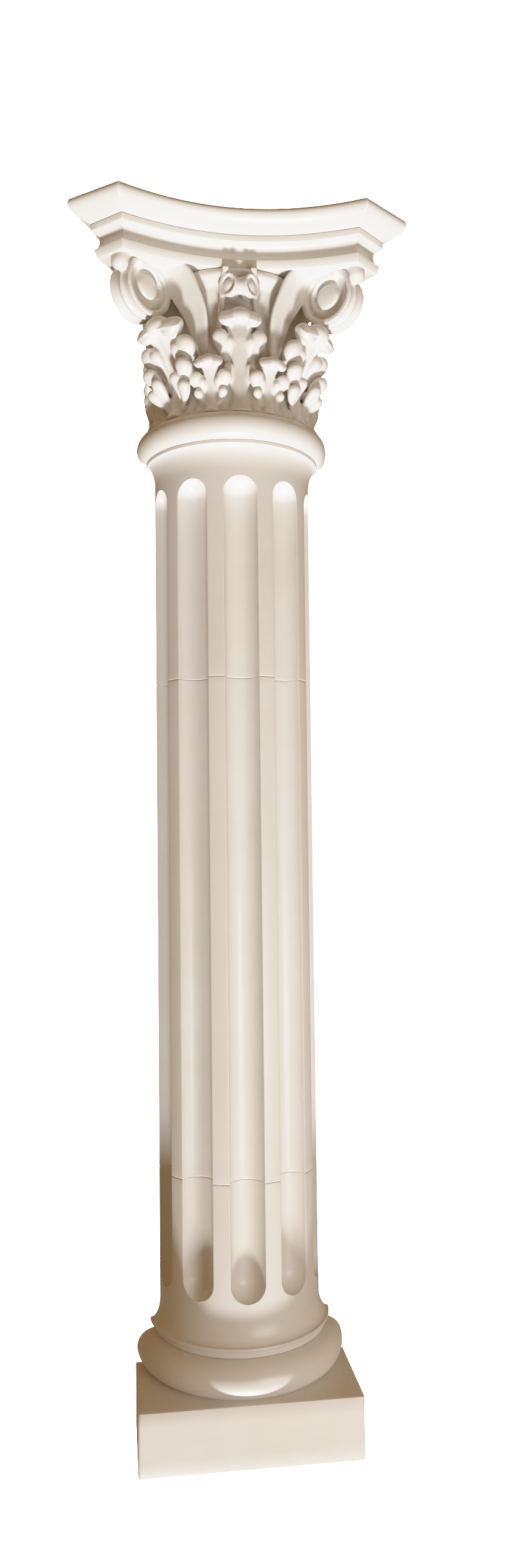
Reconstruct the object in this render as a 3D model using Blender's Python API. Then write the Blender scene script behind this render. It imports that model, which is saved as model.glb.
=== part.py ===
"""Fluted half column with a leaf capital, cast in plaster in five pieces.

The pieces stack on each other with their flat backs in one wall plane. The origin is
the middle of the plinth's underside, +Z is up, and the column faces -Y. An azimuth
turns round the shaft's axis: 0 faces -Y, positive turns towards +X.
"""
import bpy
import bmesh
import numpy as np

# Heights of the five cast pieces, metres
PLINTH_HEIGHT = 0.118
TORUS_HEIGHT = 0.069
LOWER_HEIGHT = 0.321
MIDDLE_HEIGHT = 0.993
UPPER_HEIGHT = 0.525
CAPITAL_HEIGHT = 0.398
JOINT_GAP = 0.0003

# Plinth and torus
PLINTH_WIDTH = 0.429
PLINTH_DEPTH = 0.2005
TORUS_RADIUS = 0.212
TORUS_SINK = 0.007
TORUS_BULGE = 0.0425
TORUS_STEPS = 8
TORUS_SIDES = 28

# Shaft and its flutes, and how far in front of the shaft's axis the flat backs lie
SHAFT_RADIUS = 0.165
BACK_CUT = 0.014
FLUTE_COUNT = 5
FLUTE_WIDTH = 0.068
FLUTE_SIDES = 6
FILLET_SIDES = 3
FLUTE_END_STEPS = 4
FLUTE_END_ANGLE = 72.0
FLUTE_TIP = 0.08
FOOT_NECK_RADIUS = 0.178
FOOT_NECK_HEIGHT = 0.012
FOOT_LIP_RADIUS = 0.185
FOOT_LIP_HEIGHT = 0.008
FOOT_FLARE_HEIGHT = 0.041
FOOT_PLAIN_HEIGHT = 0.033
HEAD_LIP_RADIUS = 0.1835
HEAD_LIP_HEIGHT = 0.007
HEAD_FLARE_HEIGHT = 0.044
HEAD_PLAIN_HEIGHT = 0.016
FLARE_STEPS = 3
ASTRAGAL_RADIUS = 0.203
ASTRAGAL_HEIGHT = 0.055
ASTRAGAL_STEPS = 6

# Bell of the capital: share of its own height, and radius there
BELL_HEIGHT = 0.312
BELL_SHAPE = ((0.0, 0.183), (0.05, 0.172), (0.12, 0.164), (0.45, 0.158), (0.85, 0.156),
              (0.92, 0.162), (0.96, 0.164), (1.0, 0.160))
BELL_SIDES = 32

# Abacus: plan corners at its top edge, and how they draw in with the moulding
ABACUS_HEIGHT = 0.092
ABACUS_FRONT = 0.217
ABACUS_SIDE = 0.264
HORN_FRONT_CORNER = (0.2405, 0.2795)
HORN_SIDE_CORNER = (0.3390, 0.2075)
DRAW_FRONT_CORNER = (0.12, 1.00)
DRAW_SIDE_CORNER = (0.86, 0.50)
FRONT_ARC_STEPS = 12
SIDE_ARC_STEPS = 4
# Moulding of the abacus: share of its height, and inset
ABACUS_SHAPE = ((0.0, 0.070), (0.20, 0.064), (0.33, 0.070), (0.50, 0.071), (0.66, 0.054),
                (0.70, 0.046), (0.78, 0.020), (0.86, 0.004), (0.92, 0.0), (1.0, 0.006))

# Leaves in two tiers: azimuth, reach from the axis, share of the full width
TALL_LEAF_HEIGHT = 0.190
TALL_LEAVES = ((-90.0, 0.196, 0.9), (-46.0, 0.246, 1.15), (0.0, 0.216, 1.0),
               (46.0, 0.246, 1.15), (90.0, 0.196, 0.9))
SHORT_LEAF_HEIGHT = 0.093
SHORT_LEAVES = ((-67.0, 0.200, 0.9), (-19.0, 0.222, 1.0), (19.0, 0.222, 1.0), (67.0, 0.200, 0.9))
LEAF_FOOT_LIFT = 0.006
LEAF_THICKNESS = 0.012
CURL_RADIUS = 0.019
CURL_ANGLES = (115.0, 70.0, 25.0, -25.0)
STALK_SHARES = (0.0, 0.22, 0.45, 0.66, 0.82)
# Half-widths up the stalk and round the curl, metres
TALL_HALF_WIDTHS = (0.020, 0.014, 0.015, 0.020, 0.028, 0.036, 0.045, 0.051, 0.044)
SHORT_HALF_WIDTHS = (0.018, 0.014, 0.015, 0.018, 0.021, 0.025, 0.030, 0.033, 0.028)
# Side lobes of a leaf: sideways offset, foot and top as shares of its height, half-width
TALL_LOBE = (0.044, 0.50, 0.90, 0.025)
SHORT_LOBE = (0.034, 0.16, 0.84, 0.019)
LOBE_DEPTH = 0.015
LOBE_LEAN = 0.50
LOBE_SIDES = 7
LOBE_STEPS = 4

# Volutes under the horns: middle of the scroll sideways and outwards of the axis
VOLUTE_SIDE = 0.196
VOLUTE_OUT = 0.148
VOLUTE_DROP = 0.053
VOLUTE_TURN = 48.0
VOLUTE_RADIUS = 0.059
VOLUTE_WIDTH = 0.057
VOLUTE_RECESS = 0.013
SCROLL_SIDES = 18
# Face of a scroll: share of its radius, share of its recess
SCROLL_FACE = ((0.04, 0.3), (0.34, 0.3), (0.44, 1.0), (0.68, 1.0), (0.80, 0.0), (0.96, 0.0),
               (1.0, 0.25))
# Stem of a volute: azimuth, lift off the bell, share of the bell's height
STEM_PATH = ((50.0, 0.056, 0.945), (43.0, 0.036, 0.915), (36.0, 0.026, 0.83), (30.0, 0.018, 0.72),
             (25.0, 0.011, 0.59), (21.0, 0.004, 0.42))
SIDE_STEM_PATH = ((62.0, 0.056, 0.945), (68.0, 0.034, 0.915), (73.0, 0.022, 0.83),
                  (77.0, 0.014, 0.72), (80.0, 0.008, 0.59), (82.0, 0.004, 0.42))
STEM_WIDTH = 0.058
STEM_THICKNESS = 0.024
STEM_THINNING = 0.12
STEM_SIDES = 6

# Small paired scrolls above the middle leaf
HELIX_RADIUS = 0.023
HELIX_WIDTH = 0.026
HELIX_RECESS = 0.005
HELIX_SIDE = 0.018
HELIX_OUT = 0.178
HELIX_TURN = 45.0
HELIX_RISE = 0.815

# Colour and finish
PLASTER_COLOUR = (0.86, 0.82, 0.76, 1.0)
PLASTER_ROUGHNESS = 0.32

AXIS_Y = PLINTH_DEPTH / 2 + BACK_CUT
FLUTE_PITCH = 180.0 / FLUTE_COUNT
BASE_TOP = PLINTH_HEIGHT + TORUS_HEIGHT
LOWER_TOP = BASE_TOP + LOWER_HEIGHT
MIDDLE_TOP = LOWER_TOP + MIDDLE_HEIGHT
UPPER_TOP = MIDDLE_TOP + UPPER_HEIGHT
COLUMN_TOP = UPPER_TOP + CAPITAL_HEIGHT
BELL_FOOT = UPPER_TOP + JOINT_GAP
ABACUS_FOOT = COLUMN_TOP - ABACUS_HEIGHT


def clear_scene():
    """Remove what the file starts with."""
    for old in list(bpy.data.objects):
        bpy.data.objects.remove(old)


def plaster():
    """Ivory paint over cast plaster."""
    material = bpy.data.materials.new("plaster")
    material.use_nodes = True
    shader = material.node_tree.nodes["Principled BSDF"]
    shader.inputs["Base Color"].default_value = PLASTER_COLOUR
    shader.inputs["Roughness"].default_value = PLASTER_ROUGHNESS
    shader.inputs["Metallic"].default_value = 0.0
    return material


def add_object(name, points, faces):
    """One object from points and faces, with its faces turned outwards."""
    mesh = bpy.data.meshes.new(name)
    mesh.from_pydata([tuple(map(float, p)) for p in points], [], faces)
    shape = bmesh.new()
    shape.from_mesh(mesh)
    bmesh.ops.recalc_face_normals(shape, faces=shape.faces)
    shape.to_mesh(mesh)
    shape.free()
    piece = bpy.data.objects.new(name, mesh)
    bpy.context.collection.objects.link(piece)
    return piece


def loft(name, rings):
    """Closed solid through rings of equal count, with a flat cap at each end."""
    rings = np.asarray(rings, float)
    levels, count = rings.shape[:2]
    faces = [tuple(range(count))[::-1], tuple(range((levels - 1) * count, levels * count))]
    for level in range(levels - 1):
        for i in range(count):
            j = (i + 1) % count
            low, high = level * count, (level + 1) * count
            faces.append((low + i, low + j, high + j, high + i))
    return add_object(name, rings.reshape(-1, 3), faces)


def on_shaft(side, out, height):
    """World points from sideways and outward distances of the shaft's axis."""
    return np.stack([side, AXIS_Y - out, np.broadcast_to(height, np.shape(side))], -1)


def turned(side, out, azimuth):
    """Sideways and outward distances, turned round the axis to an azimuth."""
    a = np.radians(azimuth)
    return out * np.sin(a) + side * np.cos(a), out * np.cos(a) - side * np.sin(a)


def wall_azimuth(radius):
    """Azimuth at which a circle round the axis meets the wall plane, degrees."""
    return np.degrees(np.arccos(BACK_CUT / radius))


def flute_ring(height, openness=1.0, sunk=True):
    """Half outline of the shaft at a height.

    Each flute is a half circle across its chord, of the stated share of the full width.
    """
    half = FLUTE_WIDTH / 2 * openness
    chord = np.sqrt(SHAFT_RADIUS ** 2 - half ** 2)
    turn = np.linspace(-np.pi / 2, np.pi / 2, FLUTE_SIDES + 1)
    side, out = half * np.sin(turn), chord - half * np.cos(turn)
    if not sunk:
        out = np.sqrt(SHAFT_RADIUS ** 2 - side ** 2)
    edge = np.degrees(np.arcsin(half / SHAFT_RADIUS))
    middles = (np.arange(FLUTE_COUNT) - (FLUTE_COUNT - 1) / 2) * FLUTE_PITCH
    starts = np.append(-wall_azimuth(SHAFT_RADIUS), middles + edge)
    ends = np.append(middles - edge, wall_azimuth(SHAFT_RADIUS))
    sides, outs = [], []
    for k in range(FLUTE_COUNT + 1):
        fillet = np.radians(np.linspace(starts[k], ends[k], FILLET_SIDES + 1))
        inside = fillet[(0 if k == 0 else 1):(None if k == FLUTE_COUNT else -1)]
        sides.append(SHAFT_RADIUS * np.sin(inside))
        outs.append(SHAFT_RADIUS * np.cos(inside))
        if k < FLUTE_COUNT:
            s, o = turned(side, out, middles[k])
            sides.append(s)
            outs.append(o)
    return on_shaft(np.concatenate(sides), np.concatenate(outs), height)


def round_ring(height, radius):
    """Outline with no flutes, on as many points as the fluted one."""
    ring = flute_ring(height, sunk=False)
    azimuth = np.arctan2(ring[:, 0], AXIS_Y - ring[:, 1])
    azimuth *= wall_azimuth(radius) / wall_azimuth(SHAFT_RADIUS)
    return on_shaft(radius * np.sin(azimuth), radius * np.cos(azimuth), height)


def even_ring(height, radius, count):
    """Evenly spaced points of a circle, from wall to wall."""
    azimuth = np.radians(wall_azimuth(radius)) * np.linspace(-1.0, 1.0, count + 1)
    return on_shaft(radius * np.sin(azimuth), radius * np.cos(azimuth), height)


def flute_end(crown, direction):
    """Rings of the round flute ends, from the crown into the full flute."""
    half = FLUTE_WIDTH / 2
    rings = [flute_ring(crown, FLUTE_TIP, sunk=False)]
    for step in range(FLUTE_END_STEPS + 1):
        t = np.radians(FLUTE_END_ANGLE) * (1 - step / FLUTE_END_STEPS)
        rings.append(flute_ring(crown + direction * half * (1 - np.sin(t)), np.cos(t)))
    return rings


def flare(start, height, radius):
    """Rings of the hollow curve from the shaft out to a lip."""
    rings = []
    for step in range(FLARE_STEPS + 1):
        t = np.pi / 2 * step / FLARE_STEPS
        rings.append(round_ring(start + height * np.sin(t),
                                radius + (SHAFT_RADIUS - radius) * np.cos(t)))
    return rings


def make_base():
    """Square plinth with the torus cast on it, its underside sunk in it, as one closed body."""
    rise = (TORUS_HEIGHT + TORUS_SINK) / 2
    first = np.arcsin(TORUS_SINK / rise - 1.0)
    rings = [even_ring(BASE_TOP - rise + rise * np.sin(t),
                       TORUS_RADIUS - TORUS_BULGE + TORUS_BULGE * np.cos(t), TORUS_SIDES)
             for t in np.linspace(first, np.pi / 2, TORUS_STEPS + 1)]
    rings = np.array(rings)
    levels, count = rings.shape[:2]
    x, back = PLINTH_WIDTH / 2, AXIS_Y - BACK_CUT
    front = back - PLINTH_DEPTH
    corners = [(sx * x, y, z) for z in (0.0, PLINTH_HEIGHT)
               for sx, y in ((-1, back), (-1, front), (1, front), (1, back))]
    points = list(rings.reshape(-1, 3)) + corners
    low = [levels * count + k for k in range(4)]
    high = [k + 4 for k in low]
    arc = list(range(count))
    faces = [tuple(low[::-1]), tuple(high + arc[::-1])]
    faces += [(low[k], low[k + 1], high[k + 1], high[k]) for k in range(3)]
    faces.append((low[3], low[0], high[0], arc[0], arc[-1], high[3]))
    for level in range(levels - 1):
        for i in range(count):
            j = (i + 1) % count
            a, b = level * count, (level + 1) * count
            faces.append((a + i, a + j, b + j, b + i))
    faces.append(tuple(range((levels - 1) * count, levels * count)))
    return add_object("base", points, faces)


def make_lower_shaft():
    """Shaft piece with its neck, the lip, the flare and the flutes' lower ends."""
    foot = BASE_TOP + JOINT_GAP
    lip_foot = foot + FOOT_NECK_HEIGHT
    flare_top = lip_foot + FOOT_LIP_HEIGHT + FOOT_FLARE_HEIGHT
    rings = [round_ring(foot, FOOT_NECK_RADIUS), round_ring(lip_foot, FOOT_NECK_RADIUS),
             round_ring(lip_foot, FOOT_LIP_RADIUS)]
    rings += flare(flare_top, -FOOT_FLARE_HEIGHT, FOOT_LIP_RADIUS)[::-1]
    rings += flute_end(flare_top + FOOT_PLAIN_HEIGHT, 1.0)
    rings.append(flute_ring(LOWER_TOP))
    return loft("lower_shaft", rings)


def make_middle_shaft():
    """Plain fluted length."""
    return loft("middle_shaft", [flute_ring(LOWER_TOP + JOINT_GAP), flute_ring(MIDDLE_TOP)])


def make_upper_shaft():
    """Shaft piece with the flutes' upper ends, the flare, the lip and the astragal."""
    astragal_foot = UPPER_TOP - ASTRAGAL_HEIGHT
    flare_top = astragal_foot - HEAD_LIP_HEIGHT
    flare_foot = flare_top - HEAD_FLARE_HEIGHT
    rings = [flute_ring(MIDDLE_TOP + JOINT_GAP)]
    rings += flute_end(flare_foot - HEAD_PLAIN_HEIGHT, -1.0)[::-1]
    rings += flare(flare_foot, HEAD_FLARE_HEIGHT, HEAD_LIP_RADIUS)
    roll = ASTRAGAL_RADIUS - HEAD_LIP_RADIUS
    for step in range(ASTRAGAL_STEPS + 1):
        t = np.pi * (step / ASTRAGAL_STEPS - 0.5)
        rings.append(round_ring(astragal_foot + ASTRAGAL_HEIGHT * (1 + np.sin(t)) / 2,
                                HEAD_LIP_RADIUS + roll * np.cos(t)))
    return loft("upper_shaft", rings)


def make_bell():
    """Turned core that the leaves grow on."""
    turn = np.linspace(0, 2 * np.pi, BELL_SIDES, endpoint=False)
    rings = [on_shaft(radius * np.sin(turn), -radius * np.cos(turn), BELL_FOOT + share * BELL_HEIGHT)
             for share, radius in BELL_SHAPE]
    return loft("bell", rings)


def abacus_ring(height, inset):
    """Plan of the abacus: hollow front, cut-off horns and hollow sides, to behind the wall."""
    front = ABACUS_FRONT - inset
    side = ABACUS_SIDE - inset
    inner = np.array(HORN_FRONT_CORNER) - inset * np.array(DRAW_FRONT_CORNER)
    outer = np.array(HORN_SIDE_CORNER) - inset * np.array(DRAW_SIDE_CORNER)
    u = np.linspace(0, 1, SIDE_ARC_STEPS + 1)
    right = np.stack([side + (outer[0] - side) * u ** 2, outer[1] * u], -1)
    v = np.linspace(-1, 1, FRONT_ARC_STEPS + 1)
    middle = np.stack([inner[0] * v, front + (inner[1] - front) * v ** 2], -1)
    left = right * (-1, 1)
    plan = np.concatenate([left, middle, right[::-1]])
    behind = np.array([[side, -0.02], [-side, -0.02]])
    plan = np.concatenate([plan, behind])
    return on_shaft(plan[:, 0], plan[:, 1], height)


def make_abacus():
    """Slab with its moulded edge."""
    return loft("abacus", [abacus_ring(ABACUS_FOOT + share * ABACUS_HEIGHT, inset)
                           for share, inset in ABACUS_SHAPE])


def bell_radius(height):
    """Radius of the bell at a height."""
    share = (height - BELL_FOOT) / BELL_HEIGHT
    return np.interp(share, [s for s, _ in BELL_SHAPE], [r for _, r in BELL_SHAPE])


def rib_points(height, reach):
    """Outward distance and height of a leaf's middle rib: up the bell, then round its curl."""
    foot = BELL_FOOT + LEAF_FOOT_LIFT
    share = np.array(STALK_SHARES)
    z = foot + share * height
    start = bell_radius(z)
    out = start + (reach - 2 * CURL_RADIUS - start) * share ** 2
    turn = np.radians(CURL_ANGLES)
    curl_out = reach - CURL_RADIUS + CURL_RADIUS * np.cos(turn)
    curl_z = foot + height - CURL_RADIUS + CURL_RADIUS * np.sin(turn)
    return np.append(out, curl_out), np.append(z, curl_z)


def make_tongue(azimuth, height, reach, half_widths):
    """Middle tongue of a leaf, which curls over at its crown."""
    out, z = rib_points(height, reach)
    step_out, step_z = np.gradient(out), np.gradient(z)
    length = np.hypot(step_out, step_z)
    normal_out, normal_z = step_z / length, -step_out / length
    across = np.array([-1.0, -0.55, 0.0, 0.55, 1.0, 0.5, -0.5])
    raised = np.array([-0.35, 0.5, 0.7, 0.5, -0.35, -1.0, -1.0]) * LEAF_THICKNESS
    rings = []
    for k, half_width in enumerate(half_widths):
        s, o = turned(across * half_width, out[k] + raised * normal_out[k], azimuth)
        rings.append(on_shaft(s, o, z[k] + raised * normal_z[k]))
    return loft("tongue", rings)


def make_lobe(azimuth, height, reach, side, lobe):
    """Rounded side lobe of a leaf, leaning outwards to its top."""
    offset, foot, top, half_width = lobe
    turn = np.linspace(0, 2 * np.pi, LOBE_SIDES, endpoint=False)
    rings = []
    for k in range(LOBE_STEPS + 1):
        t = 0.5 - 0.5 * np.cos(np.pi * (0.14 + 0.74 * k / LOBE_STEPS))
        z = BELL_FOOT + LEAF_FOOT_LIFT + height * (foot + (top - foot) * t)
        swell = np.sqrt(1.0 - (2.0 * t - 1.0) ** 2)
        lean = LOBE_LEAN * (reach - bell_radius(z)) * t
        s, o = turned(side * offset * (0.72 + 0.28 * t) + half_width * swell * np.cos(turn),
                      bell_radius(z) + lean + LOBE_DEPTH * swell * np.sin(turn), azimuth)
        rings.append(on_shaft(s, o, z))
    return loft("lobe", rings)


def make_leaf(azimuth, height, reach, widen, half_widths, lobe):
    """Closed parts of one leaf: its tongue and its two side lobes."""
    parts = [make_tongue(azimuth, height, reach, np.array(half_widths) * widen)]
    return parts + [make_lobe(azimuth, height, reach, side, lobe) for side in (-1, 1)]


def make_scroll(side, out, height, azimuth, radius, width, recess):
    """Drum of a scroll with its level axis across an azimuth, sunk faces and raised eyes."""
    face = [(share, width / 2 - sink * recess) for share, sink in SCROLL_FACE]
    turn = np.linspace(0, 2 * np.pi, SCROLL_SIDES, endpoint=False)
    rings = []
    for share, along in face + [(share, -along) for share, along in face[::-1]]:
        s, o = turned(np.full(SCROLL_SIDES, along), radius * share * np.cos(turn), azimuth)
        rings.append(on_shaft(side + s, out + o, height + radius * share * np.sin(turn)))
    return loft("scroll", rings)


def make_stem(path, side):
    """Thick band from a volute's top down the bell."""
    turn = np.linspace(0, 2 * np.pi, STEM_SIDES, endpoint=False)
    rings = []
    for k, (azimuth, lift, share) in enumerate(path):
        taper = 1.0 - STEM_THINNING * k
        z = BELL_FOOT + share * BELL_HEIGHT
        s, o = turned(STEM_WIDTH / 2 * taper * np.cos(turn),
                      bell_radius(z) + lift + STEM_THICKNESS / 2 * taper * np.sin(turn),
                      side * azimuth)
        rings.append(on_shaft(s, o, z))
    return loft("stem", rings)


def unite(name, solids, wall):
    """Union of closed solids, cut off flat at the wall, as one mesh.

    The Manifold solver keeps all the lobes, where Exact loses the body at one of them.
    """
    body = solids[0]
    for other in solids[1:]:
        step = body.modifiers.new("union", "BOOLEAN")
        step.operation = "UNION"
        step.solver = "MANIFOLD"
        step.object = other
    cut = body.modifiers.new("cut", "BOOLEAN")
    cut.operation = "DIFFERENCE"
    cut.solver = "MANIFOLD"
    cut.object = wall
    evaluated = body.evaluated_get(bpy.context.evaluated_depsgraph_get())
    mesh = bpy.data.meshes.new_from_object(evaluated)
    mesh.name = name
    for used in list(solids) + [wall]:
        bpy.data.objects.remove(used)
    result = bpy.data.objects.new(name, mesh)
    bpy.context.collection.objects.link(result)
    return result


def make_wall():
    """Block behind the wall plane."""
    size = 1.0
    foot, top = BELL_FOOT - size, COLUMN_TOP + size
    plan = np.array([(-size, BACK_CUT), (size, BACK_CUT), (size, -size), (-size, -size)])
    return loft("wall", [on_shaft(plan[:, 0], plan[:, 1], z) for z in (foot, top)])


def make_capital():
    """Bell, leaves, volutes and abacus, cast as one."""
    solids = [make_bell(), make_abacus()]
    for side in (-1, 1):
        solids.append(make_scroll(side * VOLUTE_SIDE, VOLUTE_OUT, ABACUS_FOOT - VOLUTE_DROP,
                                  side * VOLUTE_TURN, VOLUTE_RADIUS, VOLUTE_WIDTH, VOLUTE_RECESS))
        solids += [make_stem(STEM_PATH, side), make_stem(SIDE_STEM_PATH, side)]
        solids.append(make_scroll(side * HELIX_SIDE, HELIX_OUT, BELL_FOOT + HELIX_RISE * BELL_HEIGHT,
                                  -side * HELIX_TURN, HELIX_RADIUS, HELIX_WIDTH, HELIX_RECESS))
    for azimuth, reach, widen in TALL_LEAVES:
        solids += make_leaf(azimuth, TALL_LEAF_HEIGHT, reach, widen, TALL_HALF_WIDTHS, TALL_LOBE)
    for azimuth, reach, widen in SHORT_LEAVES:
        solids += make_leaf(azimuth, SHORT_LEAF_HEIGHT, reach, widen, SHORT_HALF_WIDTHS, SHORT_LOBE)
    return unite("capital", solids, make_wall())


def build():
    """All five pieces, with the plaster on them."""
    clear_scene()
    material = plaster()
    pieces = [make_base(), make_lower_shaft(), make_middle_shaft(), make_upper_shaft(), make_capital()]
    for piece in pieces:
        piece.data.materials.clear()
        piece.data.materials.append(material)
        piece.data.shade_smooth()
        piece.data.set_sharp_from_angle(angle=np.radians(35.0))
    return pieces


build()
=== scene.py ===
# %% [markdown]
# # A plaster half column
#
# The real thing is five plaster castings, painted ivory, that stand on each other
# against a wall: a square plinth with its torus, three lengths of fluted shaft, and a
# capital of leaves and scrolls under a moulded slab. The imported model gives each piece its
# place and its outline. This script dresses the five pieces with the curves, soft edges
# and folds of the castings, paints them, lights them and points a camera at them.

import bmesh
import bpy
import numpy as np
from mathutils import Matrix, Vector


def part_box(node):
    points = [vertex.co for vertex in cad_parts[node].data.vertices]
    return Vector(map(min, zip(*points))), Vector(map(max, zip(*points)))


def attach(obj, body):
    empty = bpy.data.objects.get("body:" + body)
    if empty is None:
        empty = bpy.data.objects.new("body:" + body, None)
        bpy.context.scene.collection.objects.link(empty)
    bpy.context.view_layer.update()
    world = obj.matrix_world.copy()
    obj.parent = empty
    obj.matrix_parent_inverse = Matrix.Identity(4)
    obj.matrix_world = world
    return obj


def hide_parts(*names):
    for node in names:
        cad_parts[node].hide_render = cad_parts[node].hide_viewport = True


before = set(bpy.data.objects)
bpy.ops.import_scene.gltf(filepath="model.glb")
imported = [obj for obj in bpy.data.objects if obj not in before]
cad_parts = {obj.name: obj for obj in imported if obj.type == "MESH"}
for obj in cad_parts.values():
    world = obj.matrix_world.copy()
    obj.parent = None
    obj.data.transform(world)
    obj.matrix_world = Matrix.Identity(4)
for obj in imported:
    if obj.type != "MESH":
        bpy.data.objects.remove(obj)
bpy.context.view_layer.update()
MM = 0.001
print("pieces:", sorted(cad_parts))

# %% [markdown]
# ## Levels and radii
#
# Everything is measured from two things: the shaft's axis, which lies a little behind the
# wall plane, and the level of each joint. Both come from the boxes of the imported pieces, so
# the dress fits the frame.

# %% Levels and radii, from the frame
WALL_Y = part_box("middle_shaft")[1][1]
PLINTH_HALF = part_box("base")[1][0]
AXIS_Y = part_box("base")[0][1] + PLINTH_HALF
SHAFT_RADIUS = float(np.hypot(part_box("middle_shaft")[1][0], AXIS_Y - WALL_Y))
BASE_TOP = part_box("base")[1][2]
LOWER_FOOT, LOWER_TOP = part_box("lower_shaft")[0][2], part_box("lower_shaft")[1][2]
MIDDLE_FOOT, MIDDLE_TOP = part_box("middle_shaft")[0][2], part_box("middle_shaft")[1][2]
UPPER_FOOT, UPPER_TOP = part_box("upper_shaft")[0][2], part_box("upper_shaft")[1][2]
BELL_FOOT, COLUMN_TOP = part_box("capital")[0][2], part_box("capital")[1][2]
PLINTH_HEIGHT = 0.118
TORUS_RADIUS = 0.212
TORUS_BULGE = 0.0425
TORUS_SINK = 0.007
FLUTE_COUNT = 5
FLUTE_PITCH = 180.0 / FLUTE_COUNT
FLUTE_HALF = 0.034
print("wall at y", round(WALL_Y, 4), "axis at y", round(AXIS_Y, 4),
      "radius", round(SHAFT_RADIUS, 4))

# %% [markdown]
# ## From arrays to meshes
#
# Most of the column is a grid: rows of points up the piece, and columns of points round it.
# A grid whose rows close on themselves, with a face over each end, is a closed solid, which
# is what a casting is.


# %% Grids and meshes
def grid_faces(rows, columns, start=0):
    """Quads between neighbouring rows, closed round the columns, and one face over each end."""
    index = start + np.arange(rows * columns).reshape(rows, columns)
    ahead = np.roll(index, -1, axis=1)
    quads = np.stack([index[:-1], ahead[:-1], ahead[1:], index[1:]], -1).reshape(-1, 4)
    return quads.tolist() + [index[0, ::-1].tolist(), index[-1].tolist()]


def add_piece(name, grids):
    """One object from closed grids, each an array of rows, columns and xyz."""
    points, faces, start = [], [], 0
    for grid in grids:
        rows, columns = grid.shape[:2]
        points.append(grid.reshape(-1, 3))
        faces += grid_faces(rows, columns, start)
        start += rows * columns
    mesh = bpy.data.meshes.new(name)
    mesh.from_pydata(np.concatenate(points).tolist(), [], faces)
    mesh.validate()
    piece = bpy.data.objects.new(name, mesh)
    bpy.context.scene.collection.objects.link(piece)
    return piece


def triangles(piece):
    """Triangle count of a finished piece."""
    piece.data.calc_loop_triangles()
    return len(piece.data.loop_triangles)


def place(side, out, z):
    """Points of the column from sideways and outward distances of the shaft's axis."""
    side, out, z = np.broadcast_arrays(side, out, z)
    return np.stack([side, AXIS_Y - out, z], -1)


def turned(side, out, azimuth):
    """The same distances, turned round the axis by an azimuth in degrees."""
    a = np.radians(azimuth)
    return out * np.sin(a) + side * np.cos(a), out * np.cos(a) - side * np.sin(a)


def eased(value, low, high):
    """Smooth step: 0 below low, 1 above high, and a soft S between them."""
    t = np.clip((value - low) / (high - low), 0.0, 1.0)
    return t * t * (3.0 - 2.0 * t)


def worn(grid, columns, passes=2):
    """Each named column of a grid is moved half way to the middle of its neighbours."""
    for _ in range(passes):
        beside = grid[:, columns - 1] + grid[:, columns + 1]
        grid[:, columns] = 0.5 * grid[:, columns] + 0.25 * beside
    return grid


# %% [markdown]
# ## Paint
#
# The castings have a semi-gloss ivory paint. It is never one flat colour: it yellows a
# little in patches, its gloss varies where the roller overlapped, and the surface under it
# has the soft waves of plaster. All of this is noise on the object's own coordinates, so it
# stays put when the camera moves.


# %% Ivory paint on plaster
IVORY = (0.848, 0.828, 0.798, 1.0)
IVORY_AGED = (0.80, 0.762, 0.705, 1.0)
# Scale, detail and roughness of each noise
PATCHES, SHINE = (5.0, 4.0, 0.55), (14.0, 3.0, 0.5)
WAVES, GRAIN = (28.0, 2.0, 0.4), (900.0, 2.0, 0.5)
PATCH_RANGE = (0.35, 0.80)
ROUGHNESS_RANGE = (0.24, 0.40)
# Strength and depth of the relief that only the light sees
WAVE_RELIEF = (0.25, 1.2 * MM)
GRAIN_RELIEF = (0.12, 0.15 * MM)
PAINT_IOR = 1.5


def noise(nodes, links, coordinates, scale, detail, roughness):
    """Value of a noise texture on object coordinates."""
    node = nodes.new("ShaderNodeTexNoise")
    node.inputs["Scale"].default_value = scale
    node.inputs["Detail"].default_value = detail
    node.inputs["Roughness"].default_value = roughness
    links.new(coordinates, node.inputs["Vector"])
    return node.outputs["Fac"]


def bump(nodes, links, height, strength, distance):
    """Node that turns a height into relief in the shading."""
    node = nodes.new("ShaderNodeBump")
    node.inputs["Strength"].default_value = strength
    node.inputs["Distance"].default_value = distance
    links.new(height, node.inputs["Height"])
    return node


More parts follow.
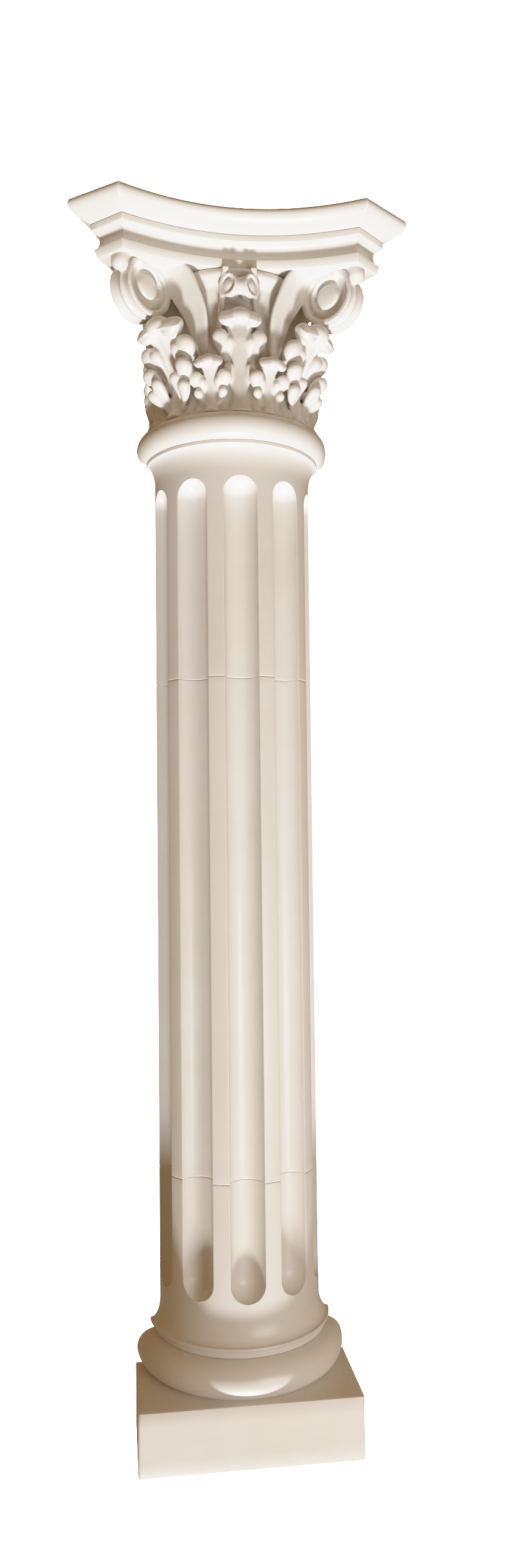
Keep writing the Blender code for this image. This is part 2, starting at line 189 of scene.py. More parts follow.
def ivory_paint(name):
    """Semi-gloss paint: patchy ivory, uneven gloss, soft waves and fine grain."""
    material = bpy.data.materials.new(name)
    material.use_nodes = True
    nodes, links = material.node_tree.nodes, material.node_tree.links
    shader = nodes["Principled BSDF"]
    coordinates = nodes.new("ShaderNodeTexCoord").outputs["Object"]
    colour = nodes.new("ShaderNodeMix")
    colour.data_type = "RGBA"
    colour.inputs["A"].default_value = IVORY
    colour.inputs["B"].default_value = IVORY_AGED
    spread = nodes.new("ShaderNodeMapRange")
    spread.inputs["From Min"].default_value, spread.inputs["From Max"].default_value = PATCH_RANGE
    links.new(noise(nodes, links, coordinates, *PATCHES), spread.inputs["Value"])
    links.new(spread.outputs["Result"], colour.inputs["Factor"])
    links.new(colour.outputs["Result"], shader.inputs["Base Color"])
    gloss = nodes.new("ShaderNodeMapRange")
    gloss.inputs["To Min"].default_value, gloss.inputs["To Max"].default_value = ROUGHNESS_RANGE
    links.new(noise(nodes, links, coordinates, *SHINE), gloss.inputs["Value"])
    links.new(gloss.outputs["Result"], shader.inputs["Roughness"])
    waves = bump(nodes, links, noise(nodes, links, coordinates, *WAVES), *WAVE_RELIEF)
    grain = bump(nodes, links, noise(nodes, links, coordinates, *GRAIN), *GRAIN_RELIEF)
    links.new(waves.outputs["Normal"], grain.inputs["Normal"])
    links.new(grain.outputs["Normal"], shader.inputs["Normal"])
    shader.inputs["IOR"].default_value = PAINT_IOR
    return material


PAINT = ivory_paint("ivory_paint")


def cut_at_wall(piece):
    """What lies behind the wall plane is cut off, and the cut gets a flat face."""
    shape = bmesh.new()
    shape.from_mesh(piece.data)
    cut = bmesh.ops.bisect_plane(shape, geom=shape.verts[:] + shape.edges[:] + shape.faces[:],
                                 dist=1e-6, plane_co=(0, WALL_Y, 0), plane_no=(0, 1, 0),
                                 clear_outer=True)
    rim = [part for part in cut["geom_cut"] if isinstance(part, bmesh.types.BMEdge)]
    bmesh.ops.holes_fill(shape, edges=rim, sides=0)
    bmesh.ops.recalc_face_normals(shape, faces=shape.faces)
    shape.to_mesh(piece.data)
    shape.free()


def finish_piece(piece, node, angle=40.0):
    """Cut a piece at the wall, paint it, round its shading and put it in its node's place."""
    cut_at_wall(piece)
    piece.data.materials.clear()
    piece.data.materials.append(PAINT)
    piece.data.shade_smooth()
    piece.data.set_sharp_from_angle(angle=np.radians(angle))
    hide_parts(node)
    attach(piece, "root")
    print(node, "dressed with", triangles(piece), "triangles")


# %% [markdown]
# ## The fluted outline
#
# Each flute is half a circle cut into the shaft, across its chord. Its columns of points
# keep to its own edges, also where the flute narrows at its round end, so that the arris
# stays one clean line. Columns a millimetre or so from each arris let it be worn a little.


# %% Outline of the shaft at any opening of its flutes
FLUTE_TURN = np.radians(np.concatenate([[-90, -88, -85], np.linspace(-80, 80, 23), [85, 88, 90]]))
NEAR_ARRIS = np.array([0.35, 0.9])
FILLET_STEPS = np.linspace(0.0, 1.0, 9)


def flute_columns(opening, sunk=1.0):
    """Sideways and outward distances of the outline, one row for each opening.

    The opening is the share of a flute's full width: its outline is half a circle of that
    width, set on the chord that meets the shaft's surface. With sunk at 0 the points lie on
    the round shaft.
    """
    half = FLUTE_HALF * np.reshape(opening, (-1, 1))
    edge = np.degrees(np.arcsin(half / SHAFT_RADIUS))
    side = half * np.sin(FLUTE_TURN)
    hollow = np.sqrt(SHAFT_RADIUS ** 2 - half ** 2) - half * np.cos(FLUTE_TURN)
    out = sunk * hollow + (1.0 - sunk) * np.sqrt(SHAFT_RADIUS ** 2 - side ** 2)
    middles = (np.arange(FLUTE_COUNT) - (FLUTE_COUNT - 1) / 2) * FLUTE_PITCH
    sides, outs, arrises, count = [], [], [], 0
    for k in range(FLUTE_COUNT + 1):
        first = middles[k - 1] + edge if k else np.full_like(edge, -90.0)
        last = middles[k] - edge if k < FLUTE_COUNT else np.full_like(edge, 90.0)
        plain = first + NEAR_ARRIS[1] * 2 + (last - first - NEAR_ARRIS[1] * 4) * FILLET_STEPS
        lead = first + (NEAR_ARRIS if k else np.array([0.0, 0.9]))
        tail = last - (NEAR_ARRIS[::-1] if k < FLUTE_COUNT else np.array([0.9, 0.0]))
        fillet = np.radians(np.concatenate([lead, plain, tail], axis=1))
        sides.append(SHAFT_RADIUS * np.sin(fillet))
        outs.append(SHAFT_RADIUS * np.cos(fillet))
        count += fillet.shape[1]
        if k < FLUTE_COUNT:
            s, o = turned(side, out, middles[k])
            sides.append(s)
            outs.append(o)
            arrises += [count - 1, count, count + len(FLUTE_TURN) - 1, count + len(FLUTE_TURN)]
            count += len(FLUTE_TURN)
    return np.concatenate(sides, axis=1), np.concatenate(outs, axis=1), np.array(arrises)


def shaft_grid(levels, opening, radius, sunk):
    """Grid of a shaft piece: the outline at each level, scaled to that level's radius."""
    side, out, arrises = flute_columns(opening)
    plain_side, plain_out, _ = flute_columns(opening, sunk=0.0)
    sunk = np.reshape(sunk, (-1, 1))
    scale = np.reshape(radius, (-1, 1)) / SHAFT_RADIUS
    side = (sunk * side + (1 - sunk) * plain_side) * scale
    out = (sunk * out + (1 - sunk) * plain_out) * scale
    grid = place(side, out, np.reshape(levels, (-1, 1)))
    return worn(grid, arrises)


# %% [markdown]
# ## Joints between the castings
#
# The lengths of shaft are cast one by one, and their rims come out of the mould with a
# small round edge. Where two rims meet, the eye sees a lit lip over a brown line. Each
# shaft piece here has such a rim.


# %% Rims and round flute ends
RIM_DEPTH = np.array([0.0, 0.3, 0.8, 1.5, 2.4]) * MM
RIM_INSET = np.array([1.1, 0.6, 0.28, 0.08, 0.0]) * MM
END_TURN = np.radians(np.concatenate([[88.0, 84.0], np.linspace(78.0, 0.0, 16)]))


def flute_end(crown, direction):
    """Levels and openings of a flute's round end: both follow one quarter of a circle."""
    return crown + direction * FLUTE_HALF * (1.0 - np.sin(END_TURN)), np.cos(END_TURN)


def hollow_curve(start, height, radius, steps=14):
    """Levels and radii of the curve from the shaft out to a lip: a quarter of an ellipse."""
    t = np.linspace(0.0, np.pi / 2, steps)
    return start + height * np.sin(t), radius + (SHAFT_RADIUS - radius) * np.cos(t)


# %% Lower length of the shaft
FOOT_NECK_RADIUS = 0.178
FOOT_NECK_HEIGHT = 0.012
FOOT_LIP_RADIUS = 0.185
FOOT_LIP_HEIGHT = 0.008
FOOT_FLARE_HEIGHT = 0.041
FOOT_PLAIN_HEIGHT = 0.033
MIDDLE_INSET = 0.12


def dress_lower_shaft():
    """Neck, lip, hollow curve, plain band, the flutes' lower ends and the flutes to the joint."""
    lip_foot = LOWER_FOOT + FOOT_NECK_HEIGHT
    lip = np.concatenate([LOWER_FOOT + FOOT_NECK_HEIGHT * np.array([0.0, 0.5, 0.85]),
                          lip_foot + FOOT_LIP_HEIGHT * np.array([0.0, 0.1, 0.3, 0.7, 0.92, 1.0])])
    lip_radius = np.concatenate([np.array([0.0, 0.0, 0.8]) * MM + FOOT_NECK_RADIUS,
                                 FOOT_LIP_RADIUS - np.array([2.6, 0.8, 0.0, 0.0, 0.5, 1.6]) * MM])
    flare_top = lip_foot + FOOT_LIP_HEIGHT + FOOT_FLARE_HEIGHT
    flare_z, flare_radius = hollow_curve(flare_top, -FOOT_FLARE_HEIGHT, FOOT_LIP_RADIUS - 2.2 * MM)
    flare_z, flare_radius = flare_z[::-1], flare_radius[::-1]
    plain_z = flare_top + FOOT_PLAIN_HEIGHT * np.array([0.3, 0.6, 0.85, 0.97])
    end_z, opening = flute_end(flare_top + FOOT_PLAIN_HEIGHT, 1.0)
    top_z = LOWER_TOP - np.concatenate([[0.09, 0.04, 0.015], RIM_DEPTH[::-1]])
    levels = np.concatenate([lip, flare_z, plain_z, end_z, top_z])
    round_rows = len(lip) + len(flare_z) + len(plain_z)
    openings = np.concatenate([np.full(round_rows, opening[0]), opening, np.ones(len(top_z))])
    radius = np.concatenate([lip_radius, flare_radius,
                             np.full(len(plain_z) + len(end_z) + len(top_z), SHAFT_RADIUS)])
    radius[-len(RIM_INSET):] -= RIM_INSET[::-1]
    sunk = (np.arange(len(levels)) >= round_rows).astype(float)
    return add_piece("shaft_lower", [shaft_grid(levels, openings, radius, sunk)])


def dress_middle_shaft():
    """The plain fluted length, with a rim at each end."""
    ends = np.concatenate([RIM_DEPTH, [0.015, 0.05]])
    between = np.linspace(MIDDLE_FOOT + MIDDLE_INSET, MIDDLE_TOP - MIDDLE_INSET, 9)
    levels = np.concatenate([MIDDLE_FOOT + ends, between, MIDDLE_TOP - ends[::-1]])
    full = np.ones(len(levels))
    radius = SHAFT_RADIUS * full
    radius[:len(RIM_INSET)] -= RIM_INSET
    radius[-len(RIM_INSET):] -= RIM_INSET[::-1]
    return add_piece("shaft_middle", [shaft_grid(levels, full, radius, full)])


# %% Upper length of the shaft, with the astragal
HEAD_LIP_RADIUS = 0.1835
HEAD_LIP_HEIGHT = 0.007
HEAD_FLARE_HEIGHT = 0.044
HEAD_PLAIN_HEIGHT = 0.016
ASTRAGAL_RADIUS = 0.203
ASTRAGAL_HEIGHT = 0.055


def dress_upper_shaft():
    """Flutes up to their round ends, the hollow curve, a crisp lip and the round astragal."""
    astragal_foot = UPPER_TOP - ASTRAGAL_HEIGHT
    flare_top = astragal_foot - HEAD_LIP_HEIGHT
    flare_foot = flare_top - HEAD_FLARE_HEIGHT
    crown = flare_foot - HEAD_PLAIN_HEIGHT
    foot_z = UPPER_FOOT + np.concatenate([RIM_DEPTH, [0.015, 0.05, 0.12, 0.2, 0.28]])
    end_z, opening = flute_end(crown, -1.0)
    end_z, opening = end_z[::-1], opening[::-1]
    plain_z = crown + HEAD_PLAIN_HEIGHT * np.array([0.05, 0.3, 0.65])
    flare_z, flare_radius = hollow_curve(flare_foot, HEAD_FLARE_HEIGHT, HEAD_LIP_RADIUS)
    lip_z = flare_top + HEAD_LIP_HEIGHT * np.array([0.25, 0.7, 0.9, 1.0])
    lip_radius = HEAD_LIP_RADIUS - np.array([0.0, 0.0, 0.6, 2.2]) * MM
    t = np.linspace(-np.pi / 2, np.pi / 2, 30)
    roll = ASTRAGAL_RADIUS - HEAD_LIP_RADIUS
    roll_z = astragal_foot + 0.4 * MM + (ASTRAGAL_HEIGHT - 0.4 * MM) * (1.0 + np.sin(t)) / 2
    roll_radius = HEAD_LIP_RADIUS + roll * np.cos(t)
    levels = np.concatenate([foot_z, end_z, plain_z, flare_z, lip_z, roll_z])
    fluted = len(foot_z) + len(end_z)
    openings = np.concatenate([np.ones(len(foot_z)), opening,
                               np.full(len(levels) - fluted, opening[-1])])
    radius = np.concatenate([np.full(fluted + len(plain_z), SHAFT_RADIUS), flare_radius,
                             lip_radius, roll_radius])
    radius[:len(RIM_INSET)] -= RIM_INSET
    sunk = (np.arange(len(levels)) < fluted).astype(float)
    return add_piece("shaft_upper", [shaft_grid(levels, openings, radius, sunk)])


shaft_lower = dress_lower_shaft()
shaft_middle = dress_middle_shaft()
shaft_upper = dress_upper_shaft()
finish_piece(shaft_lower, "lower_shaft")
finish_piece(shaft_middle, "middle_shaft")
finish_piece(shaft_upper, "upper_shaft")

# %% [markdown]
# ## Plinth and torus
#
# The base is one casting: half of a square block with half of a fat ring on it. Each column
# of the grid is a ray from the axis. Its outline is a rounded square up the block, then it
# runs in across the top, and goes round the ring.


# %% The base
def plinth_outline(angle, inset):
    """Distance from the axis to a square with slightly round corners: a high power mean."""
    power = 90.0
    mean = (np.abs(np.sin(angle)) ** power + np.abs(np.cos(angle)) ** power) ** (1.0 / power)
    return (PLINTH_HALF - inset) / mean


def dress_base():
    """Plinth with eased edges, its top, and the torus as a half circle carried round."""
    near_corner = np.array([-1.6, -0.8, -0.4, 0.4, 0.8, 1.6])
    angle = np.concatenate([np.linspace(-90, 90, 121), near_corner - 45, near_corner + 45])
    angle = np.radians(np.sort(angle))
    edge_z = np.array([0.0, 0.6, 2.0]) * MM
    edge_inset = np.array([1.8, 0.5, 0.0]) * MM
    block_z = np.concatenate([edge_z, [0.03, 0.06, 0.09], PLINTH_HEIGHT - edge_z[::-1] * 0.8])
    block_inset = np.concatenate([edge_inset, np.zeros(3), edge_inset[::-1]])
    block = plinth_outline(angle, block_inset[:, None])
    rise = (BASE_TOP - PLINTH_HEIGHT + TORUS_SINK) / 2
    ring_middle = TORUS_RADIUS - TORUS_BULGE
    t = np.linspace(np.arcsin(TORUS_SINK / rise - 1.0), np.pi / 2, 36)[:, None]
    ring = ring_middle + TORUS_BULGE * np.cos(t) + 0 * angle
    share = np.linspace(0.0, 1.0, 8)[1:-1, None]
    top = block[-1] + (ring[0] - block[-1]) * share
    radius = np.concatenate([block, top, ring])
    levels = np.concatenate([block_z, np.full(len(share), PLINTH_HEIGHT),
                             BASE_TOP - rise + rise * np.sin(t[:, 0])])
    grid = place(radius * np.sin(angle), radius * np.cos(angle), levels[:, None])
    return add_piece("plinth_and_torus", [grid])


plinth_and_torus = dress_base()
finish_piece(plinth_and_torus, "base")

# %% [markdown]
# ## The abacus
#
# The slab on top of the capital has hollow sides and cut-off horns. Its edge is a run of
# mouldings: a plain band, a hollow, a small bead over a fine groove, and a large round that
# leans out to the top. One profile is carried round the plan, and the plan draws in as the
# profile does, more at the horns than along the sides.

# %% Profile and plan of the abacus
ABACUS_HEIGHT = 0.101
ABACUS_FOOT = COLUMN_TOP - ABACUS_HEIGHT
ABACUS_FRONT = 0.220
ABACUS_SIDE = 0.266
HORN_FRONT = np.array([0.2405, 0.2795])
HORN_SIDE = np.array([0.3390, 0.2075])
DRAW_FRONT = np.array([0.18, 1.12])
DRAW_SIDE = np.array([1.16, 0.60])
# Height over the abacus's foot and inset from its widest line, mm
ABACUS_PROFILE = np.array([
    (0.0, 51.5), (0.5, 49.6), (1.8, 48.6), (15.0, 44.0), (16.4, 44.2), (17.0, 45.4),
    (18.6, 48.2), (21.4, 50.0), (29.0, 52.6), (38.0, 54.0), (43.0, 52.8), (46.5, 49.5),
    (48.6, 45.0), (49.8, 41.0), (50.6, 38.8), (51.6, 38.0), (62.0, 37.6), (63.4, 38.2),
    (64.2, 39.6), (64.9, 39.8), (65.4, 37.8), (66.4, 33.0), (68.0, 26.6), (70.2, 20.0),
    (73.2, 13.6), (76.8, 8.2), (80.8, 4.2), (84.6, 1.7), (88.2, 0.4), (91.2, 0.0), (94.2, 0.5),
    (96.8, 1.8), (98.8, 3.6), (100.2, 5.4), (101.0, 7.4)]) * MM
# At the horns the moulding is less round on top
HORN_ROUNDING = 0.5
NEAR_CORNER = np.array([0.006, 0.016])


def abacus_grid():
    """Plan of the slab at each point of its profile.

    Sideways, the wall end runs to the horn on a square law, and the front is a parabola
    between the horns. A corner moves in by its own share of the inset.
    """
    z, inset = ABACUS_PROFILE.T
    at_horn = np.where(np.arange(len(z)) > np.argmin(inset), inset * HORN_ROUNDING, inset)[:, None]
    inset = inset[:, None]
    inner, outer = HORN_FRONT - at_horn * DRAW_FRONT, HORN_SIDE - at_horn * DRAW_SIDE
    u = np.concatenate([np.linspace(0.0, 0.94, 12), 1.0 - NEAR_CORNER[::-1], [1.0]])
    wall_end = ABACUS_SIDE - inset
    right_side = np.stack([wall_end + (outer[:, :1] - wall_end) * u ** 2, outer[:, 1:] * u], -1)
    c = np.concatenate([NEAR_CORNER * 2, np.linspace(0.1, 0.9, 7), 1.0 - NEAR_CORNER[::-1] * 2])
    cut = outer[:, None] + (inner - outer)[:, None] * c[None, :, None]
    v = np.concatenate([[-1.0], NEAR_CORNER - 1.0, np.linspace(-0.96, 0.96, 49),
                        1.0 - NEAR_CORNER[::-1], [1.0]])
    front = ABACUS_FRONT - inset
    middle = np.stack([inner[:, :1] * v, front + (inner[:, 1:] - front) * v ** 2], -1)
    left = np.concatenate([right_side, cut], axis=1) * (-1, 1)
    right = np.concatenate([right_side, cut], axis=1)[:, ::-1]
    plan = np.concatenate([left, middle, right], axis=1)
    last_side, last_cut = len(u), len(u) + len(c)
    corners = np.array([last_side - 1, last_cut, last_cut + len(v) - 1,
                        plan.shape[1] - last_side])
    grid = place(plan[..., 0], plan[..., 1], (ABACUS_FOOT + z)[:, None])
    return worn(grid, corners)


# %% [markdown]
# ## Petals
#
# Two kinds of form make the leaves and stems. A petal is a thick strip that is carried
# along a bent rib, gets wider and narrower on its way, and ends in scallops. A drop is a
# thin round tail that swells into a round head. Where such a form is turned down, the low
# light catches it.


# %% A thick strip along a rib
RIB_STEPS = 200
PETAL_ROWS, PETAL_COLUMNS = 40, 44
PETAL_TURN = np.linspace(0.0, 2 * np.pi, PETAL_COLUMNS, endpoint=False)
DROP_ROWS = 14
DROP_TURN = np.linspace(0.0, 2 * np.pi, 20, endpoint=False)


def bent(points, steps=RIB_STEPS):
    """Smooth curve through a few points: each stretch is a cubic whose slopes are those
    between the points on its two sides."""
    points = np.asarray(points, float)
    slope = np.gradient(points, axis=0)
    place_on = np.linspace(0.0, len(points) - 1.0, steps)
    k = np.minimum(place_on.astype(int), len(points) - 2)
    t = (place_on - k)[:, None]
    return ((2 * t ** 3 - 3 * t ** 2 + 1) * points[k] + (t ** 3 - 2 * t ** 2 + t) * slope[k]
            + (3 * t ** 2 - 2 * t ** 3) * points[k + 1] + (t ** 3 - t ** 2) * slope[k + 1])


def scallop_wave(u, count):
    """Round arches across a strip: 1 at the top of each, 0 where two meet and at the sides."""
    within = (u + 1.0) / 2.0 * count % 1.0
    return np.sqrt(np.clip(1.0 - 0.98 * (2.0 * within - 1.0) ** 2, 0.0, 1.0))


def petal(azimuth, rib, thickness, count=1, depth=0.0, drop=0.1, cup=0.2, fold=0.5, squash=0.72,
          sag=(0.0, 0.0)):
    """Closed grid of a thick strip.

    rib has rows of sideways, outward, height over the bell's foot, and half-width. Round each
    row the strip is an ellipse: its long way lies across the rib, and its short way is the
    thickness. Its end is cut into count round scallops, depth long, and runs back by drop at
    the sides. Between the scallops it is thinner by the share fold, and its sides bend back
    by cup times their distance. From squash on it rounds off to its end. Towards the end the
    sides also move back and down by sag.
    """
    curve = bent(rib)
    share = np.linspace(0.0, 1.0, RIB_STEPS)
    line = curve[:, :3]
    along = np.gradient(line, axis=0)
    along /= np.linalg.norm(along, axis=1, keepdims=True)
    across = np.array([1.0, 0.0, 0.0]) - along * along[:, :1]
    across /= np.linalg.norm(across, axis=1, keepdims=True)
    face = np.cross(along, across)
    u, front = np.cos(PETAL_TURN)[None, :], np.sin(PETAL_TURN)[None, :]
    v = 0.5 - 0.5 * np.cos(np.pi * np.linspace(0.0, 1.0, PETAL_ROWS)[:, None] ** 0.85)
    wave = scallop_wave(u, count)
    q = v * (1.0 - depth * (1.0 - wave) - drop * u ** 2)
    middle, across, face, half = [
        np.stack([np.interp(q, share, table[:, i]) for i in range(table.shape[1])], -1)
        for table in (line, across, face, curve[:, 3:])]
    end = np.sqrt(np.clip(1.0 - eased(v, squash, 1.0) ** 2, 0.04, 1.0))
    plump = 1.0 - fold * (1.0 - wave) * eased(v, 0.15, 0.75)
    lift = thickness * end * plump * front - cup * half[..., 0] * u ** 2
    grid = middle + across * (half * u[..., None]) + face * lift[..., None]
    bend = u ** 2 * eased(v, 0.55, 0.85)
    grid[..., 1] -= sag[0] * bend
    grid[..., 2] -= sag[1] * bend
    side, out = turned(grid[..., 0], grid[..., 1], azimuth)
    return place(side, out, BELL_FOOT + grid[..., 2])


def drop_form(azimuth, path, head, tail, flat=0.8):
    """Closed grid of a drop: a thin tail along a bent path that swells into a round head.

    Its radius grows from tail to head on a smooth step. At the end it closes as a half
    circle: head * sqrt(1 - x ** 2), where x runs from 0 to 1 over the last head's length.
    Across the bell it is full, and towards the eye flattened to the share flat.
    """
    curve = bent(path)
    step = np.linalg.norm(np.diff(curve, axis=0), axis=1)
    length = np.concatenate([[0.0], np.cumsum(step)])
    rest = np.linspace(0.0, 1.0, DROP_ROWS)
    at = np.concatenate([np.linspace(0.0, length[-1] - head, DROP_ROWS)[:-1],
                         length[-1] - head + head * np.sin(rest * np.pi / 2)])
    line = np.stack([np.interp(at, length, curve[:, i]) for i in range(3)], -1)
    along = np.gradient(line, axis=0)
    along /= np.maximum(np.linalg.norm(along, axis=1, keepdims=True), 1e-9)
    across = np.array([1.0, 0.0, 0.0]) - along * along[:, :1]
    across /= np.linalg.norm(across, axis=1, keepdims=True)
    face = np.cross(along, across)
    swell = tail + (head - tail) * eased(at / (length[-1] - head), 0.35, 1.0)
    into_head = np.maximum(at - length[-1] + head, 0.0) / head
    close = np.sqrt(np.clip(1.0 - into_head ** 2, 0.003, 1.0))
    radius = (swell * close)[:, None, None]
    u, front = np.cos(DROP_TURN)[None, :, None], np.sin(DROP_TURN)[None, :, None]
    grid = line[:, None] + radius * (across[:, None] * u + flat * face[:, None] * front)
    side, out = turned(grid[..., 0], grid[..., 1], azimuth)
    return place(side, out, BELL_FOOT + grid[..., 2])


# %% [markdown]
# ## Leaves
#
# Two tiers of leaves grow round the bell: five tall ones and, in front of the gaps, four
# short ones. A leaf has a narrow stalk that spreads into a drooping crown, with three round
# fingers on it. On each side drops spring from the leaf's foot, large ones outside and
# small ones between them and the stalk.

# %% The bell
BELL_HEIGHT = 0.312
BELL_OVERLAP = 1.2 * MM
BELL_PROFILE = np.array([(0.0, 183.0), (0.05, 173.5), (0.12, 166.0), (0.3, 160.0), (0.55, 158.0),
                         (0.75, 159.0), (0.84, 166.0), (0.885, 177.0), (0.90, 180.5),
                         (0.915, 181.5), (0.935, 180.5), (0.945, 176.0), (1.0, 172.0)])
FOLD_COUNT = 46
FOLD_DEPTH = 5.0 * MM


def bell_radius(height):
    """Radius of the bell at a height over its foot."""
    return np.interp(height / BELL_HEIGHT, BELL_PROFILE[:, 0], BELL_PROFILE[:, 1] * MM)


def bell_grid():
    """Turned bell, with narrow upright folds round its foot that fade out as they rise. It
    ends just inside the abacus, so that the two flat backs don't lie on one another."""
    top = (ABACUS_FOOT + BELL_OVERLAP - BELL_FOOT) / BELL_HEIGHT
    share = np.concatenate([np.linspace(0.0, 0.3, 20), np.linspace(0.33, 0.8, 10),
                            np.linspace(0.82, top, 16)])[:, None]
    angle = np.linspace(-np.pi / 2, np.pi / 2, 300)[None, :]
    radius = bell_radius(share * BELL_HEIGHT)
    fold = np.abs(np.sin(FOLD_COUNT * angle / 2.0 + 0.4 * np.sin(5.0 * angle)))
    rising = eased(share, 0.0, 0.04) * (1.0 - eased(share, 0.13, 0.26))
    radius = radius + FOLD_DEPTH * (fold - 0.4) * rising
    return place(radius * np.sin(angle), radius * np.cos(angle), BELL_FOOT + share * BELL_HEIGHT)


# %% One leaf
# Shares of a crown's half-width: the crown under the fingers, and a finger's two radii
CROWN_SHARE, FINGER_HEAD, FINGER_TAIL = 0.92, 0.40, 0.20
FINGER_FLAT = 0.60
# How far the outer fingers lie sideways, back and down, as shares of that half-width
FINGER_SIDE, FINGER_BACK, FINGER_DOWN = 0.62, 0.22, 0.16


def crown_rib(height, reach, spread, stalk):
    """Rib of a leaf's middle: a narrow stalk up the bell, out and wide, over, and down to a
    drooping tip. Its outer face leans back, so it lies in shade over the lit underside."""
    near = [(0.0, 0.002, 1.5), (0.14, 0.003, 1.0), (0.40, 0.007, 0.95), (0.60, 0.013, 1.15)]
    rib = [(0.0, bell_radius(share * height) + lift, share * height, width * stalk)
           for share, lift, width in near]
    start = bell_radius(0.8 * height)
    droop = height ** 0.5 * 0.058
    rib += [(0.0, start + 0.42 * (reach - start), 0.77 * height, 0.38 * spread + 0.3 * stalk),
            (0.0, reach - 1.30 * droop, height - 0.55 * droop, 0.74 * spread),
            (0.0, reach - 0.85 * droop, height, 0.90 * spread),
            (0.0, reach - 0.38 * droop, height - 0.28 * droop, 1.0 * spread),
            (0.0, reach, height - 0.90 * droop, 1.0 * spread)]
    return rib


def crown_finger(side, height, reach, spread, stalk):
    """Path of one of a crown's three round ribs: the leaf's own rib, led sideways, and for
    the outer two also back and down."""
    path = np.array(crown_rib(height, reach, spread, stalk))[3:, :3]
    progress = np.linspace(0.0, 1.0, len(path))
    path[:, 0] += side * FINGER_SIDE * spread * progress ** 0.8
    path[:, 1] -= abs(side) * FINGER_BACK * spread * progress
    path[:, 2] -= abs(side) * FINGER_DOWN * spread * progress
    return path


def lobe_path(side, foot, head, reach):
    """Path of a drop from near the leaf's foot to its head.

    foot and head are sideways distance, height over the bell's foot, and, for the head, how
    far it leans out: 0 on the bell and 1 at the reach.
    """
    sideways, rise, lean = head
    points = []
    for share in (0.0, 0.35, 0.7, 1.0):
        z = foot[1] + (rise - foot[1]) * share
        near = bell_radius(z) + 0.002
        points.append((side * (foot[0] + (sideways - foot[0]) * share ** 0.8),
                       near + lean * share ** 2 * (reach - near), z))
    return points


def leaf(azimuth, height, reach, spread, stalk, thickness, lobes):
    """Grids of one leaf: the crown, its three fingers, and on each side the round lobes."""
    rib = crown_rib(height, reach, CROWN_SHARE * spread, stalk)
    grids = [petal(azimuth, rib, thickness, count=3, depth=0.04, drop=0.02, cup=0.05, fold=0.6,
                   squash=0.86, sag=(0.20 * spread, 0.12 * spread))]
    for side in (-1, 0, 1):
        path = crown_finger(side, height, reach, spread, stalk)
        grids.append(drop_form(azimuth, path, FINGER_HEAD * spread, FINGER_TAIL * spread,
                               FINGER_FLAT))
    for side in (-1, 1):
        for foot, head, radius, tail in lobes:
            grids.append(drop_form(azimuth, lobe_path(side, foot, head, reach), radius, tail))
    return grids


# %% All the leaves
# Lobes: (sideways, height) of the foot, (sideways, height, lean) of the head, radius, tail
TALL_LOBES = (((0.010, 0.070), (0.043, 0.166, 0.55), 0.0170, 0.004),
              ((0.010, 0.080), (0.023, 0.152, 0.55), 0.0105, 0.003),
              ((0.008, 0.030), (0.024, 0.102, 0.35), 0.0095, 0.003))
CORNER_LOBES = (((0.008, 0.050), (0.054, 0.150, 0.60), 0.0210, 0.005),
                ((0.008, 0.060), (0.030, 0.138, 0.62), 0.0130, 0.004),
                ((0.006, 0.025), (0.050, 0.104, 0.62), 0.0180, 0.005),
                ((0.004, 0.010), (0.027, 0.080, 0.60), 0.0135, 0.004),
                ((0.004, 0.008), (0.046, 0.062, 0.50), 0.0135, 0.004))
SHORT_LOBES = (((0.005, 0.025), (0.034, 0.080, 0.65), 0.0150, 0.004),
               ((0.004, 0.025), (0.020, 0.068, 0.55), 0.0090, 0.003),
               ((0.004, 0.012), (0.029, 0.048, 0.42), 0.0095, 0.003))
# Azimuth, height, reach from the axis, half-width of the crown, and lobes of each tall leaf
TALL_LEAVES = ((-90.0, 0.184, 0.190, 0.050, CORNER_LOBES),
               (-46.0, 0.182, 0.243, 0.064, CORNER_LOBES),
               (0.0, 0.202, 0.202, 0.048, TALL_LOBES),
               (46.0, 0.182, 0.243, 0.064, CORNER_LOBES),
               (90.0, 0.184, 0.190, 0.050, CORNER_LOBES))
# Azimuth, reach and half-width of each short leaf
SHORT_LEAVES = ((-67.0, 0.197, 0.029), (-19.0, 0.211, 0.032), (19.0, 0.211, 0.032),
                (67.0, 0.197, 0.029))
SHORT_HEIGHT = 0.106
TALL_STALK, TALL_THICKNESS = 0.015, 7 * MM
SHORT_STALK, SHORT_THICKNESS = 0.011, 6 * MM
carved = [bell_grid()]
for azimuth, height, reach, spread, lobes in TALL_LEAVES:
    carved += leaf(azimuth, height, reach, spread, TALL_STALK, TALL_THICKNESS, lobes)
for azimuth, reach, spread in SHORT_LEAVES:
    carved += leaf(azimuth, SHORT_HEIGHT, reach, spread, SHORT_STALK, SHORT_THICKNESS, SHORT_LOBES)
print("bell and leaves:", len(carved), "surfaces")

# %% [markdown]
# ## Scrolls
#
# Under each horn two spirals meet in one drum. The drum is turned round a level axis, and
# the spiral is relief on its two faces: a raised band round the rim, which winds in once,
# a sunk channel, and a round eye. A broad stem runs from the drum down behind the leaves.
# The two small scrolls over the middle leaf are made the same way.

# %% Drums
SCROLL_COLUMNS = 72
FACE_SHARES = np.concatenate([np.linspace(0.02, 0.96, 26), [0.985, 1.0]])


